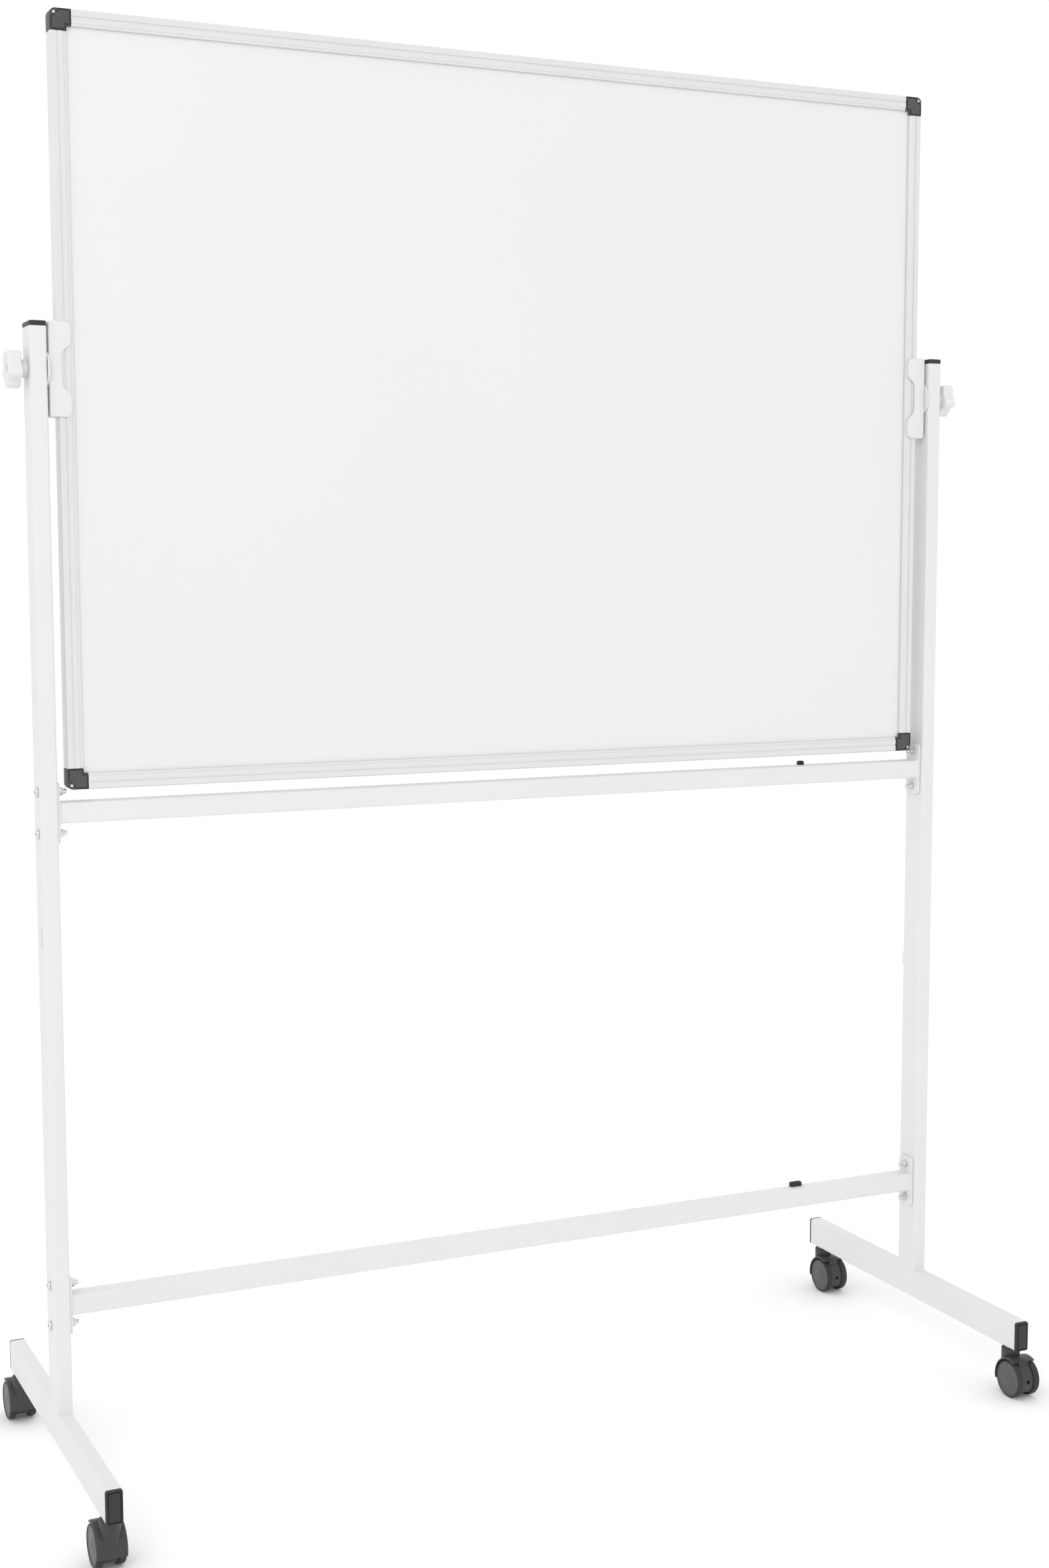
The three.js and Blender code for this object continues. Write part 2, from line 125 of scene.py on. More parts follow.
def surface(name, base, rough, metal=0.0, warm=0.0, specular=0.5, tone=0.03, tone_scale=9.0,
            rough_span=0.06, rough_scale=30.0, grain=1200.0, grain_depth=0.00002,
            grain_strength=0.3, stretch=(1, 1, 1)):
    """Procedural finish: a faint drift of tone, uneven gloss and a fine surface grain."""
    mat = bpy.data.materials.new(name)
    mat.use_nodes = True
    new, link = mat.node_tree.nodes.new, mat.node_tree.links.new
    shader = mat.node_tree.nodes["Principled BSDF"]
    place = new("ShaderNodeTexCoord").outputs["Object"]

    def noise(vector, scale, detail):
        node = new("ShaderNodeTexNoise")
        node.inputs["Scale"].default_value = scale
        node.inputs["Detail"].default_value = detail
        link(vector, node.inputs["Vector"])
        return node.outputs["Fac"]

    ramp = new("ShaderNodeValToRGB")
    ramp.color_ramp.elements[0].position = 0.3
    ramp.color_ramp.elements[1].position = 0.7
    ramp.color_ramp.elements[0].color = grey(base * (1 - tone), warm)
    ramp.color_ramp.elements[1].color = grey(min(1.0, base * (1 + tone)), warm)
    link(noise(place, tone_scale, 4), ramp.inputs["Fac"])
    link(ramp.outputs["Color"], shader.inputs["Base Color"])

    gloss = new("ShaderNodeMapRange")
    gloss.inputs["To Min"].default_value = rough - rough_span / 2
    gloss.inputs["To Max"].default_value = rough + rough_span / 2
    link(noise(place, rough_scale, 3), gloss.inputs["Value"])
    link(gloss.outputs["Result"], shader.inputs["Roughness"])

    along = new("ShaderNodeMapping")
    along.inputs["Scale"].default_value = stretch
    link(place, along.inputs["Vector"])
    bump = new("ShaderNodeBump")
    bump.inputs["Strength"].default_value = grain_strength
    bump.inputs["Distance"].default_value = grain_depth
    link(noise(along.outputs["Vector"], grain, 2), bump.inputs["Height"])
    link(bump.outputs["Normal"], shader.inputs["Normal"])

    shader.inputs["Metallic"].default_value = metal
    shader.inputs["Specular IOR Level"].default_value = specular
    return mat


COAT = surface("powder_coat", 0.735, 0.42, tone=0.012, grain=700, grain_depth=0.00004)
ANODISED = dict(base=0.735, rough=0.34, metal=0.55, tone=0.015, grain=900)
ALU_X = surface("anodised_along_x", stretch=(0.01, 1, 1), **ANODISED)
ALU_Z = surface("anodised_along_z", stretch=(1, 1, 0.01), **ANODISED)
LACQUER = surface(
    "gloss_lacquer", 0.757, 0.17, tone=0.006, tone_scale=2.5, rough_span=0.08,
    rough_scale=5, grain=160, grain_depth=0.00001, grain_strength=0.15,
)
CARD = surface("honeycomb_card", 0.45, 0.9, warm=0.08, tone=0.1, tone_scale=80)
CORNER = surface("corner_plastic", 0.062, 0.5, tone=0.12, grain=2200, grain_depth=0.00006)
CAP = surface("cap_plastic", 0.018, 0.5, tone=0.12, grain=2200, grain_depth=0.00006)
WHITE = surface("white_moulding", 0.735, 0.45, tone=0.01, grain=1500, grain_depth=0.00003)
ZINC = surface("zinc_steel", 0.72, 0.32, metal=0.9, tone=0.08, tone_scale=300, grain=2500)
RUBBER = surface("pad_rubber", 0.02, 0.75, tone=0.2, grain=1800, grain_depth=0.00008)
NYLON = surface("hood_nylon", 0.034, 0.42, tone=0.12, grain=2000, grain_depth=0.00005)
TREAD = surface("wheel_tread", 0.018, 0.55, tone=0.2, grain=1500, grain_depth=0.00008)
DISC = surface("wheel_disc", 0.072, 0.4, tone=0.08, grain=2000, grain_depth=0.00005)


# ---------------------------------------------------------------- outlines
def quarter(steps):
    """Angles from nothing to a right angle."""
    return [math.pi / 2 * i / steps for i in range(steps + 1)]


def rounded_rect(w, h, r, steps=7):
    points = []
    for k, (cx, cy) in enumerate(((1, 1), (-1, 1), (-1, -1), (1, -1))):
        for i in range(steps + 1):
            a = math.pi / 2 * (k + i / steps)
            points.append((cx * (w / 2 - r) + r * math.cos(a), cy * (h / 2 - r) + r * math.sin(a)))
    return points


def polar(radius, count=60):
    """Closed loop about the axis; radius is a number, or a rule for each angle."""
    out = []
    for i in range(count):
        a = 2 * math.pi * i / count
        r = radius(a) if callable(radius) else radius
        out.append((r * math.sin(a), -r * math.cos(a)))
    return out


def hexagon(apothem, limit=math.inf):
    """A hexagon's radius at each angle, with its corners cut off at limit."""
    def radius(a):
        return min(limit, apothem / math.cos((a + math.pi / 6) % (math.pi / 3) - math.pi / 6))
    return radius


def lobed(inset):
    """The knob's radius at each angle, drawn in by inset."""
    def radius(a):
        return KNOB_R - KNOB_LOBE + KNOB_LOBE * math.cos(KNOB_LOBES * a) - inset
    return radius


def arc(cx, cz, r, a0, a1, steps):
    """Points from angle a0 to a1, in degrees."""
    out = []
    for i in range(steps + 1):
        a = math.radians(a0 + (a1 - a0) * i / steps)
        out.append((cx + r * math.cos(a), cz + r * math.sin(a)))
    return out


def bezier(p0, p1, p2, p3, steps):
    """Points after p0 on a cubic curve to p3."""
    out = []
    for i in range(1, steps + 1):
        t = i / steps
        s = 1 - t
        out.append(tuple(
            s ** 3 * a + 3 * s * s * t * b + 3 * s * t * t * c + t ** 3 * d
            for a, b, c, d in zip(p0, p1, p2, p3)
        ))
    return out


def unique(points):
    """Drops a point that repeats the one before it."""
    out = []
    for p in points:
        if not out or math.dist(out[-1], p) > 1e-3:
            out.append(p)
    return out


def at(axis, t, loop, centre):
    """Sets a loop of (u, v) points across an axis, at t along it."""
    turn = {"x": lambda u, v: (t, u, v), "y": lambda u, v: (u, t, v), "z": lambda u, v: (u, v, t)}
    return [Vector(turn[axis](u, v)) + centre for u, v in loop]


# ---------------------------------------------------------------- meshes
class Shape:
    """Closed bodies, in millimetres, that become one mesh."""

    def __init__(self):
        self.verts, self.faces, self.tags = [], [], []

    def loft(self, loops, tags=None, ring=False):
        """Skins from loop to loop, then closes both ends, or joins them if it is a ring."""
        base, n, m = len(self.verts), len(loops[0]), len(loops)
        for loop in loops:
            self.verts += loop
        for k in range(m if ring else m - 1):
            a, b = base + k * n, base + (k + 1) % m * n
            for i in range(n):
                j = (i + 1) % n
                self.faces.append((a + i, a + j, b + j, b + i))
                self.tags.append(tags[k] if tags else 0)
        if not ring:
            last = base + (m - 1) * n
            self.faces += [tuple(range(base, base + n)), tuple(range(last, last + n))]
            self.tags += [tags[0], tags[-1]] if tags else [0, 0]
        return self

    def tube(self, axis, t0, t1, w, h, r, centre):
        """Hollow section from t0 to t1 along an axis."""
        outer, inner = rounded_rect(w, h, r), rounded_rect(w - 2 * WALL, h - 2 * WALL, r - WALL)
        ends = ((t0, outer), (t1, outer), (t1, inner), (t0, inner))
        return self.loft([at(axis, t, loop, centre) for t, loop in ends], ring=True)

    def turned(self, axis, profile, centre, count=60, tags=None, ring=False):
        """Body of (t, radius) steps about an axis."""
        loops = [at(axis, t, polar(r, count), centre) for t, r in profile]
        return self.loft(loops, tags, ring)


def block(low, high):
    (x0, y0, z0), (x1, y1, z1) = low, high
    loop = [(x0, y0), (x1, y0), (x1, y1), (x0, y1)]
    return Shape().loft([at("z", z, loop, Vector()) for z in (z0, z1)])


def mesh_object(name, shape, mats):
    mesh = bpy.data.meshes.new(name)
    mesh.from_pydata([v * MM for v in shape.verts], [], shape.faces)
    for mat in mats:
        mesh.materials.append(mat)
    for poly, tag in zip(mesh.polygons, shape.tags):
        poly.material_index = tag
    bm = bmesh.new()
    bm.from_mesh(mesh)
    bmesh.ops.recalc_face_normals(bm, faces=bm.faces)
    bm.to_mesh(mesh)
    bm.free()
    obj = bpy.data.objects.new(name, mesh)
    bpy.context.scene.collection.objects.link(obj)
    return obj


def bevel(obj, width, segments=3, angle=32):
    mod = obj.modifiers.new("soft_edges", "BEVEL")
    mod.width = width * MM
    mod.segments = segments
    mod.limit_method = "ANGLE"
    mod.angle_limit = math.radians(angle)
    mod.use_clamp_overlap = True


def bake(obj):
    """Turns the modifiers into plain mesh."""
    deps = bpy.context.evaluated_depsgraph_get()
    mesh = bpy.data.meshes.new_from_object(obj.evaluated_get(deps))
    obj.modifiers.clear()
    obj.data = mesh


def cut(obj, *cutters, overlapping=False):
    """Takes the cutters away; overlapping is for a mesh whose bodies run into each other."""
    tools = [mesh_object("cutter", c, []) for c in cutters]
    for tool in tools:
        mod = obj.modifiers.new("cut", "BOOLEAN")
        mod.operation, mod.solver, mod.object = "DIFFERENCE", "EXACT", tool
        mod.use_self = overlapping
    bake(obj)
    for tool in tools:
        bpy.data.objects.remove(tool)


def finish(obj, body, slot, *nodes, sharp=32):
    """Shades a piece, sharp past an angle, hangs it on the body it rides on and hides the CAD nodes it
    takes over.
    """
    obj.data.shade_smooth()
    if sharp:
        obj.data.set_sharp_from_angle(angle=math.radians(sharp))
    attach(obj, body)
    if nodes:
        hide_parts(*nodes)


# ---------------------------------------------------------------- stand
def bead(shape, axis, steps, centre):
    """Weld bead: a low fillet with a slight ripple, lofted through (t, width, depth) steps."""
    loops = []
    for t, w, h in steps:
        loop = []
        for i, (u, v) in enumerate(rounded_rect(w, h, BEAD_ROUND, 12)):
            k = 1 + BEAD_RIPPLE * math.sin(i * 2.4 + t)
            loop.append((u * k if abs(u) > abs(v) else u, v * k if abs(v) > abs(u) else v))
        loops.append(at(axis, t, loop, centre))
    shape.loft(loops)


def upright(side_name):
    """Tube bored for its pivot bolt, and the weld that joins it to the foot."""
    node = f"{side_name}_upright"
    low, high = box_mm(node)
    foot_top = box_mm(f"{side_name}_foot")[1].z
    mid = Vector(((low.x + high.x) / 2, 0, 0))
    wide, deep = high.x - low.x, high.y - low.y
    shape = Shape().tube("z", foot_top, high.z, wide, deep, TUBE_ROUND, mid)
    obj = mesh_object(f"{node}_tube", shape, [COAT])
    pivot = Vector((0, 0, middle(f"pivot_spacer_{side_name}").z))
    cut(obj, Shape().turned("x", ((low.x - 2, BORE_R), (high.x + 2, BORE_R)), pivot, 40))
    finish(obj, "stand", "coat", node)

    shape = Shape()
    bead(shape, "z", (
        (foot_top - 3.2, wide - 0.5, deep + 0.5), (foot_top, wide - 0.3, deep + 3.4),
        (foot_top + 0.8, wide - 0.3, deep + 2.2), (foot_top + 2.2, wide - 0.4, deep + 0.1),
    ), mid)
    finish(mesh_object(f"{side_name}_foot_weld", shape, [COAT]), "stand", "coat", sharp=None)


def foot(side_name):
    """Tube along the floor."""
    node = f"{side_name}_foot"
    low, high = box_mm(node)
    centre = middle(node) * Vector((1, 0, 1))
    shape = Shape().tube("y", low.y, high.y, high.x - low.x, high.z - low.z, TUBE_ROUND, centre)
    finish(mesh_object(f"{node}_tube", shape, [COAT]), "stand", "coat", node)


def end_cap(node, axis, face, out, lid, w, h, centre):
    """Push-in cap: plug, lid with a rolled edge, a groove and a slightly crowned top."""
    roll, crown = 1.7, 0.35
    top = lid - crown
    steps = [(-12, 3.7), (-0.2, 3.7), (0, 0.0), (0.25, 0.0)]
    for a in quarter(6):
        steps.append((top - roll + roll * math.sin(a), roll * (1 - math.cos(a))))
    steps += [(top, 2.0), (top - 1.6, 2.1), (top - 1.6, 3.1), (top, 3.2), (lid, 4.6)]
    loops = []
    for t, inset in steps:
        outline = rounded_rect(w - 2 * inset, h - 2 * inset, max(0.4, TUBE_ROUND - inset))
        loops.append(at(axis, face + out * t, outline, centre))
    finish(mesh_object(f"{node}_moulding", Shape().loft(loops), [CAP]), "stand", "cap_plastic", node)


def end_caps(side_name):
    gap = 0.05
    node = f"{side_name}_upright_cap"
    low, high = box_mm(node)
    face = box_mm(f"{side_name}_upright")[1].z + gap
    centre = Vector(((low.x + high.x) / 2, 0, 0))
    end_cap(node, "z", face, 1, high.z - face, high.x - low.x, high.y - low.y, centre)
    foot_low, foot_high = box_mm(f"{side_name}_foot")
    for end_name, out in ENDS:
        node = f"{side_name}_{end_name}_foot_cap"
        low, high = box_mm(node)
        face, tip = (foot_high.y, high.y) if out > 0 else (foot_low.y, low.y)
        face += out * gap
        centre = Vector(((low.x + high.x) / 2, 0, (low.z + high.z) / 2))
        end_cap(node, "y", face, out, abs(tip - face), high.x - low.x, high.z - low.z, centre)


def crossbar(bar):
    """Square tube with a plate welded to each end."""
    node = f"{bar}_crossbar"
    low, high = box_mm(node)
    centre = Vector((0, 0, (low.z + high.z) / 2))
    inner, side, edge = high.x - PLATE, BAR_SIDE, PLATE_EDGE
    shape = Shape().tube("x", -inner - 0.5, inner + 0.5, side, side, BAR_ROUND, centre)
    for _, sign in SIDES:
        loops = []
        for t, inset in ((0, edge), (edge * 0.3, edge * 0.3), (edge, 0), (PLATE - edge, 0),
                         (PLATE - edge * 0.3, edge * 0.3), (PLATE, edge)):
            wide, tall = high.y - low.y - 2 * inset, high.z - low.z - 2 * inset
            outline = rounded_rect(wide, tall, PLATE_ROUND - inset)
            loops.append(at("x", sign * (inner + t), outline, centre))
        shape.loft(loops)
        bead(shape, "x", [
            (sign * (inner + t), side + grow, side + grow)
            for t, grow in ((-2.6, 0.1), (-1.2, 1.4), (-0.3, 3.0), (0.5, 3.2))
        ], centre)
    finish(mesh_object(f"{node}_weldment", shape, [COAT]), "stand", "coat", node)


def crossbar_bolt(node, sign, nut_low):
    """Domed head with a hexagon socket, a shank and a nut."""
    low, high = box_mm(node)
    out, inside = (high.x, low.x) if sign > 0 else (low.x, high.x)
    centre = Vector((0, 0, (low.z + high.z) / 2))
    root, key = out - sign * HEAD_TALL, hexagon(1.8)
    crown = [(root + sign * (0.9 + 2.1 * math.sin(a)), 2.6 + 3.4 * math.cos(a)) for a in quarter(7)]
    head = [(root, 5.6), (root + sign * 0.2, 6.0), *crown, (out, key), (out - sign * 1.7, key)]
    shape = Shape().turned("x", head, centre, 48)
    shape.turned("x", ((root, 3.0), (inside + sign * 0.5, 3.0), (inside, 2.5)), centre, 32)
    flats, rim = hexagon(4.85), hexagon(4.85, 5.0)
    nut = ((0, rim), (0.5, flats), (NUT_TALL - 0.5, flats), (NUT_TALL, rim))
    shape.turned("x", [(sign * (nut_low + t), r) for t, r in nut], centre, 48)
    finish(mesh_object(f"{node}_screw", shape, [ZINC]), "stand", "screw_steel", node)


def bar_pad(bar):
    """Small rubber pad standing on a crossbar."""
    node = f"{bar}_bar_pad"
    low, high = box_mm(node)
    seat = middle(f"{bar}_crossbar").z + BAR_SIDE / 2
    tall = high.z - seat
    centre = Vector(((low.x + high.x) / 2, (low.y + high.y) / 2, 0))
    loops = []
    for t, inset in ((0, 0.4), (0.4, 0), (tall - 1.6, 0.1), (tall - 0.6, 0.5), (tall, 1.6)):
        outline = rounded_rect(high.x - low.x - 2 * inset, high.y - low.y - 2 * inset, PAD_ROUND)
        loops.append(at("z", seat + t, outline, centre))
    finish(mesh_object(f"{node}_moulding", Shape().loft(loops), [RUBBER]), "stand", "pad_rubber", node)


def plug(node, axis, face, out, w, h, lid, centre):
    """Push-in plug whose lid follows (height off the face, inset) steps."""
    loops = []
    for t, inset in ((-4, 3.2), (0, 3.2), (0.05, 0.2), *lid):
        outline = rounded_rect(w - 2 * inset, h - 2 * inset, PLUG_ROUND - inset)
        loops.append(at(axis, face + out * t, outline, centre))
    piece = mesh_object(f"{node}_moulding", Shape().loft(loops), [WHITE])
    finish(piece, "stand", "light_plastic", node)


def upright_plugs():
    low, high = box_mm("left_upright_plug")
    face = box_mm("left_upright")[0].x
    centre = Vector((0, (low.y + high.y) / 2, (low.z + high.z) / 2))
    lid = ((0.4, 0), (1.2, 0.2), (1.6, 0.9), (face - low.x, 2.4))
    plug("left_upright_plug", "x", face, -1, high.y - low.y, high.z - low.z, lid, centre)

    low, high = box_mm("right_upright_plug")
    face = box_mm("right_upright")[1].y
    centre = Vector(((low.x + high.x) / 2, 0, (low.z + high.z) / 2))
    reach = high.y - face
    lid = ((0.5, 0), (reach - 2.4, 0), (reach - 1.2, 0.5), (reach - 0.4, 1.4), (reach, 2.8))
    plug("right_upright_plug", "y", face, 1, high.x - low.x, high.z - low.z, lid, centre)


for side_name, _ in SIDES:
    upright(side_name)
    foot(side_name)
for side_name, _ in SIDES:
    end_caps(side_name)
for bar in BARS:
    crossbar(bar)
    nut_low = box_mm(f"{bar}_crossbar")[1].x - PLATE - NUT_GAP - NUT_TALL
    for side_name, sign in SIDES:
        for letter in "ab":
            crossbar_bolt(f"{bar}_{side_name}_bolt_{letter}", sign, nut_low)
for bar in BARS:
    bar_pad(bar)
upright_plugs()


# ---------------------------------------------------------------- casters
def hood_section():
    """Cross-section of the hood as (across, radius), a thin shell with rounded edges."""
    half, soft = HOOD_HALF, HOOD_SOFT
    section = [(-half, HOOD_IN + 0.3), (-half, HOOD_OUT - soft)]
    for a in quarter(6)[1:-1]:
        section.append((-half + soft * (1 - math.cos(a)), HOOD_OUT - soft + soft * math.sin(a)))
    section.append((-half + soft, HOOD_OUT))
    section += [(-x, r) for x, r in reversed(section)]
    return section + [(half - 0.3, HOOD_IN), (-half + 0.3, HOOD_IN)]


def hood_arc(steps):
    return [HOOD_FIRST + (HOOD_LAST - HOOD_FIRST) * k / steps for k in range(steps + 1)]


def hood_shape(cx, cy, turn, trail):
    """Hooded caster body about its swivel axis; turn is +1 or -1 for the way it trails."""
    def spot(x, y, z):
        return Vector((cx + turn * x, cy + turn * y, z))

    shape, section = Shape(), hood_section()
    shape.loft([
        [spot(x, trail + r * math.cos(a), AXLE_Z + r * math.sin(a)) for x, r in section]
        for a in hood_arc(48)
    ])

    # The web hangs from the hood, and round the axle it is a disc with a flat bottom.
    web = [(trail + WEB_OUT * math.cos(a), AXLE_Z + WEB_OUT * math.sin(a)) for a in hood_arc(40)]
    web += [(trail - 2, 15.5), (trail + 13, 29.5)]
    shape.loft([[spot(x, y, z) for y, z in web] for x in (-WEB_HALF, WEB_HALF)])
    hub = []
    low = math.asin((WEB_LIFT - AXLE_Z) / WEB_R)
    for i in range(57):
        a = low + (math.pi - 2 * low) * i / 56
        hub.append((WEB_R * math.cos(a), WEB_R * math.sin(a)))
    shape.loft([
        [spot(x, trail + u, AXLE_Z + v) for u, v in hub] for x in (-WEB_HALF - 0.1, WEB_HALF + 0.1)
    ])

    # The neck grows out of the hood's arc and ends in a rolled edge.
    circle = [(math.cos(a), math.sin(a)) for a in (2 * math.pi * i / 48 for i in range(48))]
    neck = []
    for level in range(3):
        loop = []
        for x, y in circle:
            hood = AXLE_Z + math.sqrt(max(NECK_FOOT ** 2 - (y * NECK_R - trail) ** 2, 7 ** 2))
            z = hood + (NECK_SHOULDER - hood) * level / 3
            loop.append(spot(x * NECK_R, y * NECK_R, z))
        neck.append(loop)
    for r, z in ((NECK_R, NECK_SHOULDER), (12.2, 61.5), (11.4, 61.7)):
        neck.append([spot(x * r, y * r, z) for x, y in circle])
    shape.loft(neck)
    return shape


def wheel(node, out):
    """Wheel with a rounded tread and a dished disc; out is +1 or -1 for its outer side."""
    # Steps are (distance from the inner face, radius), from the bore to the middle of the disc.
    low, high = box_mm(node)
    inner = low.x if out > 0 else high.x
    centre = Vector((0, (low.y + high.y) / 2, (low.z + high.z) / 2))
    profile = [
        (0, 3.2), (0, 22.4), (0.3, 23.6), (1.1, 24.6), (2.2, 25.0), (7.0, 25.0), (8.1, 24.7),
        (8.9, 24.2), (9.3, 23.6), (9.5, 23.1), (9.5, 22.9), (9.3, 22.7), (8.8, 22.5),
        (8.6, 22.2), (8.6, 9.0), (8.7, 8.6), (8.95, 8.3), (9.0, 7.6), (9.0, 3.0), (8.6, 2.6),
        (8.6, 0.4),
    ]
    tags = [0] * TREAD_BANDS + [1] * (len(profile) - 1 - TREAD_BANDS)
    steps = [(inner + out * t, r) for t, r in profile]
    shape = Shape().turned("x", steps, centre, 72, tags)
    finish(mesh_object(f"{node}_tyre", shape, [TREAD, DISC]), node, "wheel_nylon", node)


def caster(name, turn):
    """Hood, stem with its washer, and two wheels."""
    stem = middle(f"{name}_caster_stem")
    trail = abs(middle(f"{name}_wheel_a").y - stem.y)
    piece = mesh_object(f"{name}_caster_hood", hood_shape(stem.x, stem.y, turn, trail), [NYLON])
    rim = stem.y + turn * (trail + WEB_R)
    hole = Shape().turned("y", ((rim - turn * 4, WEB_HOLE), (rim + turn * 2, WEB_HOLE)),
                          Vector((stem.x, 0, AXLE_Z)), 24)
    bore = Shape().turned("z", ((46, STEM_BORE), (70, STEM_BORE)), Vector((stem.x, stem.y, 0)), 40)
    cut(piece, hole, bore, overlapping=True)
    bevel(piece, 0.4, 2, 42)
    finish(piece, f"{name}_caster", "caster_nylon", f"{name}_caster_body", sharp=35)

    pin = ((47, 3.4), (47.6, 4), (62.0, 4), (62.0, 7.7), (62.3, 8), (62.9, 8), (63.2, 7.7),
           (63.2, 4), (87.2, 4), (88, 3.3))
    shape = Shape().turned("z", pin, Vector((stem.x, stem.y, 0)), 40)
    piece = mesh_object(f"{name}_caster_pin", shape, [ZINC])
    finish(piece, "stand", "screw_steel", f"{name}_caster_stem")

    for letter, hand in (("a", 1), ("b", -1)):
        wheel(f"{name}_wheel_{letter}", hand * turn)


for side_name, sign in SIDES:
    for end_name, _ in ENDS:
        caster(f"{side_name}_{end_name}", -sign)


# ---------------------------------------------------------------- board
def refinish(node, mat):
    """Gives a CAD solid that stays in view its own finish."""
    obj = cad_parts[node]
    obj.data.materials.clear()
    obj.data.materials.append(mat)
    return obj


# Raised pad on a corner cap, cut across at the outer corner, and which way is outward at each point.
PAD_OUTLINE = [
    (22.8, 2.6), (22.8, 16.8), (17.2, 16.8), (17.2, 22.8), (2.6, 22.8), (2.6, 11.0), (11.0, 2.6),
]
PAD_OUT = [(1, -1), (1, 1), (1, 1), (1, 1), (-1, 1), (-1, -0.4), (-0.4, -1)]


def corner_outline():
    arm, leg, r = CORNER_ARM, CORNER_LEG, CORNER_ROUND
    return [
        (arm, 0), (arm, leg), *arc(leg + 1.5, leg + 1.5, 1.5, 270, 180, 6), (leg, arm), (0, arm),
        *arc(r, r, r, 180, 270, 14),
    ]


def corner_cap(name):
    """Corner cap with a raised, grooved pad and a small screw head on each face."""
    node = f"corner_{name}"
    low, high = box_mm(node)
    x0, sx = (low.x, 1) if "left" in name else (high.x, -1)
    z0, sz = (low.z, 1) if "bottom" in name else (high.z, -1)
    faces = ((low.y, -1), (high.y, 1))

    def inward(u, v, y):
        """Point u and v in from the cap's outer corner."""
        return Vector((x0 + sx * u, y, z0 + sz * v))

    def pad_loop(grow, y):
        pairs = zip(PAD_OUTLINE, PAD_OUT)
        return [inward(u + grow * du, v + grow * dv, y) for (u, v), (du, dv) in pairs]

    body = (low.y + CORNER_DROP, high.y - CORNER_DROP)
    loops = [[inward(u, v, y) for u, v in corner_outline()] for y in body]
    obj = mesh_object(f"{node}_cap", Shape().loft(loops), [CORNER])
    bevel(obj, 0.8, 3, 40)
    bake(obj)
    start = inward(CORNER_PLUG, CORNER_PLUG, -CORNER_SPACE)
    end = inward(60, 60, CORNER_SPACE)
    cut(obj, block([min(pair) for pair in zip(start, end)], [max(pair) for pair in zip(start, end)]))
    for face, out in faces:
        cut(obj, Shape().loft([pad_loop(GROOVE, face + out * t) for t in (-1.9, 1.0)]))
    finish(obj, "board", "corner_plastic", node)

    pads, screws = Shape(), Shape()
    rise = ((-2.0, 0.0), (-0.35, 0.0), (-0.1, -0.12), (0.0, -0.4))
    dome = ((-2.4, 1.7), (-0.35, 1.7), (-0.15, 1.55), (-0.02, 1.1), (0.0, 0.5))
    for face, out in faces:
        pads.loft([pad_loop(grow, face + out * t) for t, grow in rise])
        screws.turned("y", [(face + out * t, r) for t, r in dome], inward(5.0, 5.0, 0), 24)
    finish(mesh_object(f"{node}_pad", pads, [CORNER]), "board", "corner_plastic", sharp=50)
    finish(mesh_object(f"{node}_screw", screws, [ZINC]), "board", "screw_steel", sharp=None)


def clamp_outline():
    """Two lobes over the frame and a narrow waist, as (distance from the middle, height)."""
    lobe, waist, outer, h = LOBE_X, WAIST_X, CLAMP_X, CLAMP_HALF
    upper = [(outer, h - 2), *arc(outer - 2, h - 2, 2, 0, 90, 4), *arc(lobe + 7, h - 7, 7, 90, 180, 10)]
    upper += [(lobe, h - 20)]
    upper += bezier((lobe, h - 20), (lobe, h - 33), (waist, h - 28), (waist, h - 42), 16)
    return unique(upper + [(x, -z) for x, z in reversed(upper)])


def pivot_clamp(node, sign, centre):
    """Moulding that holds the frame's edge, bored for the bolt and its sunk head."""
    low, high = box_mm(node)
    loops = [[Vector((sign * x, y, centre.z + z)) for x, z in clamp_outline()] for y in (low.y, high.y)]
    obj = mesh_object(f"{node}_moulding", Shape().loft(loops), [WHITE])
    bevel(obj, 1.2, 3, 40)
    bake(obj)
    x0, x1 = sorted((sign * 500, sign * CLAMP_SEAT))
    cut(obj, block((x0, -CLAMP_SPACE, centre.z - 80), (x1, CLAMP_SPACE, centre.z + 80)))
    bore = Shape().turned("x", ((sign * 590, BORE_R), (sign * 620, BORE_R)), centre, 40)
    sink = Shape().turned("x", ((sign * 599, 7.9), (sign * 605.4, 7.9)), centre, 48)
    cut(obj, bore, sink)
    finish(obj, "board", "light_plastic", node)


def pivot_spacer(node, sign, centre):
    """Ring between the clamp and the upright."""
    low, high = box_mm(node)
    face, tip = (low.x, high.x) if sign > 0 else (high.x, low.x)
    profile = ((face, 4.4), (face, 21.3), (face + sign * 0.3, 21.7), (tip - sign * 0.3, 21.7),
               (tip, 21.3), (tip, 4.4))
    shape = Shape().turned("x", profile, centre, 72, ring=True)
    finish(mesh_object(f"{node}_ring", shape, [WHITE]), "board", "light_plastic", node)


def pivot_bolt(node, sign, centre):
    """Round head and a plain shank that the board turns on."""
    low, high = box_mm(node)
    root, tip = (low.x, high.x) if sign > 0 else (high.x, low.x)
    profile = ((root, 7.1), (root + sign * 0.5, 7.6), (root + sign * 4.1, 7.6), (root + sign * 4.5, 7.2),
               (root + sign * 4.5, 4.0), (tip - sign * 0.8, 4.0), (tip, 3.3))
    piece = mesh_object(f"{node}_turning", Shape().turned("x", profile, centre, 48), [ZINC])
    finish(piece, "board", "screw_steel", node)


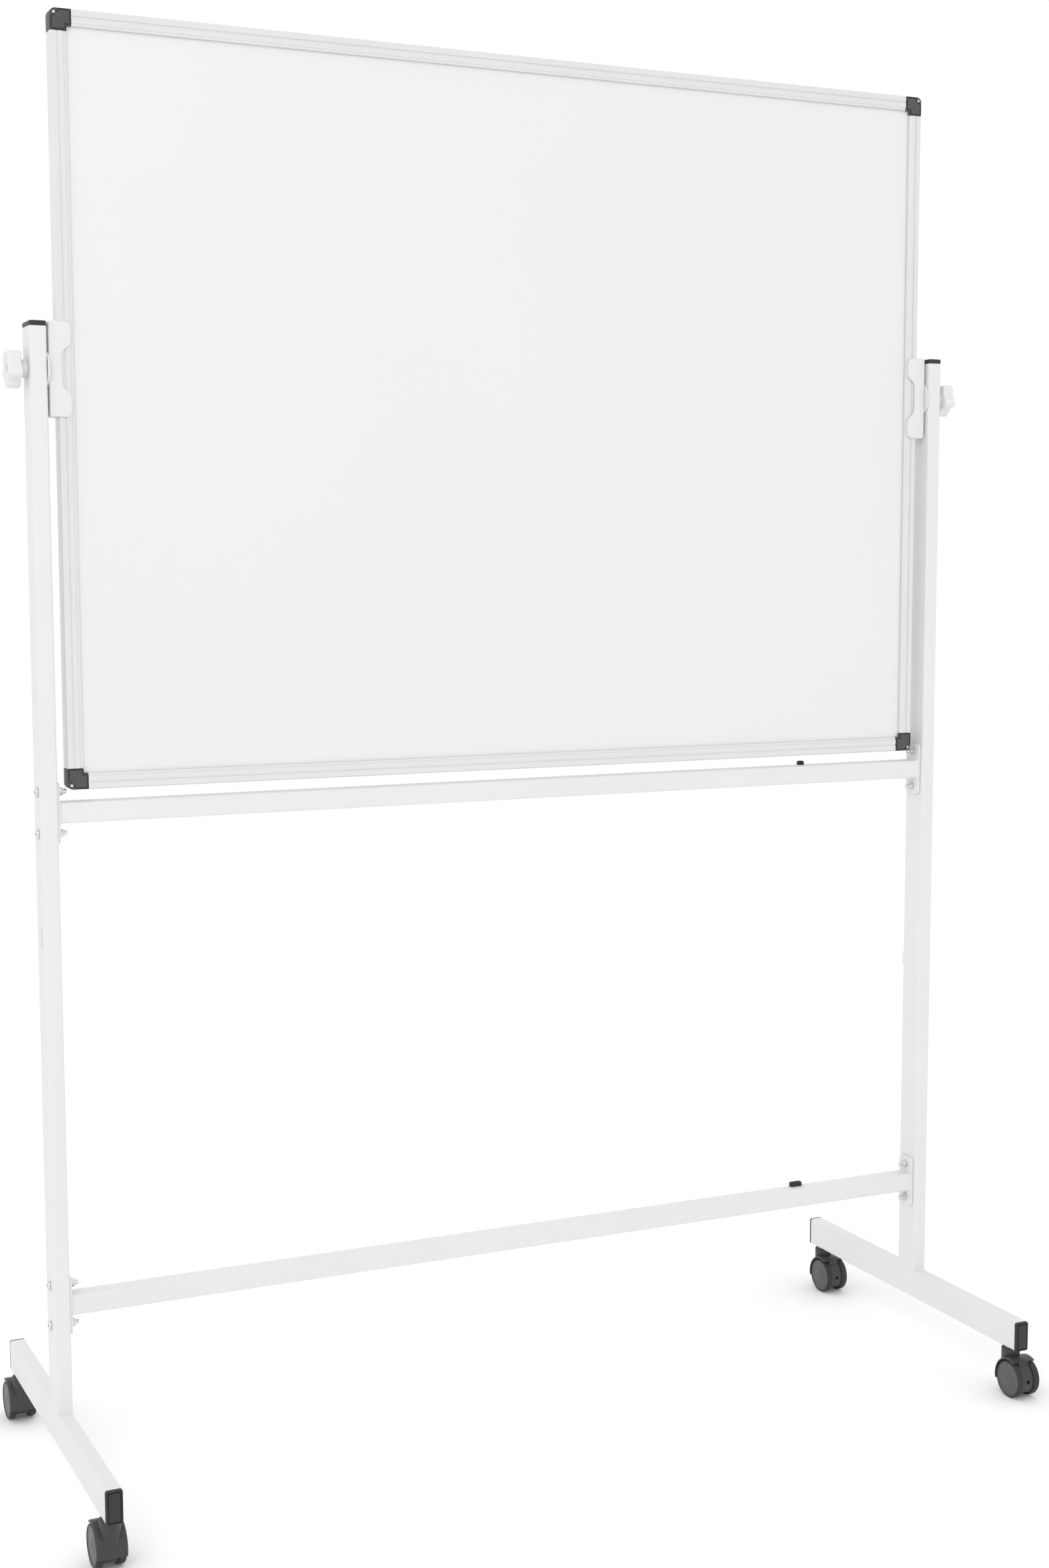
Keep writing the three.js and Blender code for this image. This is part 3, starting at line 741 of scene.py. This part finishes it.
def clamp_knob(node, body, sign, centre):
    """Round neck, lobed grip with rolled edges, and a dished face."""
    low, high = box_mm(node)
    face = low.x if sign > 0 else high.x
    neck, deep, roll = KNOB_NECK, KNOB_DEEP, KNOB_ROLL
    steps = [(0, 4.4), (0, 10.0), (0.5, 10.5), (6.4, 10.5), (7.4, 11.2), (neck, 13.0)]
    for a in quarter(6):
        steps.append((neck + roll * (1 - math.cos(a)), lobed(roll * (1 - math.sin(a)))))
    for a in quarter(6):
        steps.append((deep - roll * (1 - math.sin(a)), lobed(roll * (1 - math.cos(a)))))
    steps += [(deep, 11.8), (23.8, 11.3), (23.2, 11.0), (23.0, 10.5), (23.0, 4.7), (22.8, 4.4)]
    profile = [(face + sign * t, r) for t, r in steps]
    shape = Shape().turned("x", profile, centre, 120, ring=True)
    finish(mesh_object(f"{node}_grip", shape, [WHITE]), body, "light_plastic", node, sharp=38)


for part in ("top", "bottom", "left", "right"):
    profile = refinish(f"frame_{part}", ALU_X if part in ("top", "bottom") else ALU_Z)
    profile.modifiers.new("weld", "WELD").merge_threshold = 0.00001
    bevel(profile, 0.28, 2, 30)
refinish("board_front_sheet", LACQUER)
refinish("board_back_sheet", LACQUER)
refinish("board_core", CARD)
for name in ("bottom_left", "top_left", "top_right", "bottom_right"):
    corner_cap(name)
for side_name, sign in SIDES:
    pivot = Vector((0, 0, middle(f"pivot_spacer_{side_name}").z))
    pivot_clamp(f"pivot_clamp_{side_name}", sign, pivot)
    pivot_spacer(f"pivot_spacer_{side_name}", sign, pivot)
    pivot_bolt(f"pivot_bolt_{side_name}", sign, pivot)
    clamp_knob(f"clamp_knob_{side_name}", f"{side_name}_knob", sign, pivot)

# ---------------------------------------------------------------- studio, in metres
FLOOR_R, FLOOR_Z = 40, -0.0003
WORLD_STRENGTH = 1.02


def studio_floor():
    mesh = bpy.data.meshes.new("studio_floor")
    angles = [2 * math.pi * i / 96 for i in range(96)]
    rim = [(FLOOR_R * math.cos(a), FLOOR_R * math.sin(a), FLOOR_Z) for a in angles]
    mesh.from_pydata(rim, [], [tuple(range(len(rim)))])
    mesh.materials.append(surface(
        "studio_paint", 0.985, 0.9, tone=0.004, tone_scale=0.7, grain=400, grain_strength=0.05,
        specular=0.1,
    ))
    floor = bpy.data.objects.new("studio_floor", mesh)
    bpy.context.scene.collection.objects.link(floor)


def studio_world():
    world = bpy.data.worlds.new("studio_white")
    bpy.context.scene.world = world
    world.use_nodes = True
    world.node_tree.nodes["Background"].inputs["Color"].default_value = (1, 1, 1, 1)
    world.node_tree.nodes["Background"].inputs["Strength"].default_value = WORLD_STRENGTH


def soft_box(name, spot, aim, size, power):
    data = bpy.data.lights.new(name, "AREA")
    data.shape, data.size, data.energy = "DISK", size, power
    obj = bpy.data.objects.new(name, data)
    obj.location = spot
    obj.rotation_mode = "QUATERNION"
    obj.rotation_quaternion = (Vector(aim) - Vector(spot)).to_track_quat("-Z", "Y")
    bpy.context.scene.collection.objects.link(obj)


studio_floor()
studio_world()
soft_box("key_light", (-3.2, -4.2, 4.4), (0, 0, 0.9), 3.0, 60)
bpy.context.scene.view_settings.view_transform = "Standard"

# ---------------------------------------------------------------- camera
YAW, PITCH, ROLL = math.radians(24.8631), math.radians(6.0415), math.radians(0.1027)
LENS, SENSOR = 49.674, 36
CAMERA_SPOT = (-1.180876, -2.551492, 1.139211)

forward = Vector((math.sin(YAW) * math.cos(PITCH), math.cos(YAW) * math.cos(PITCH), -math.sin(PITCH)))
right = Vector((math.cos(YAW), -math.sin(YAW), 0))
down = forward.cross(right)
axis_x = math.cos(ROLL) * right + math.sin(ROLL) * down
axis_y = math.sin(ROLL) * right - math.cos(ROLL) * down
camera_data = bpy.data.cameras.new("camera")
camera_data.lens, camera_data.sensor_width, camera_data.sensor_fit = LENS, SENSOR, "AUTO"
camera_data.clip_end = 200
camera = bpy.data.objects.new("camera", camera_data)
bpy.context.scene.collection.objects.link(camera)
turned = Matrix((axis_x, axis_y, -forward)).transposed().to_4x4()
turned.translation = Vector(CAMERA_SPOT)
camera.matrix_world = turned
bpy.context.scene.camera = camera
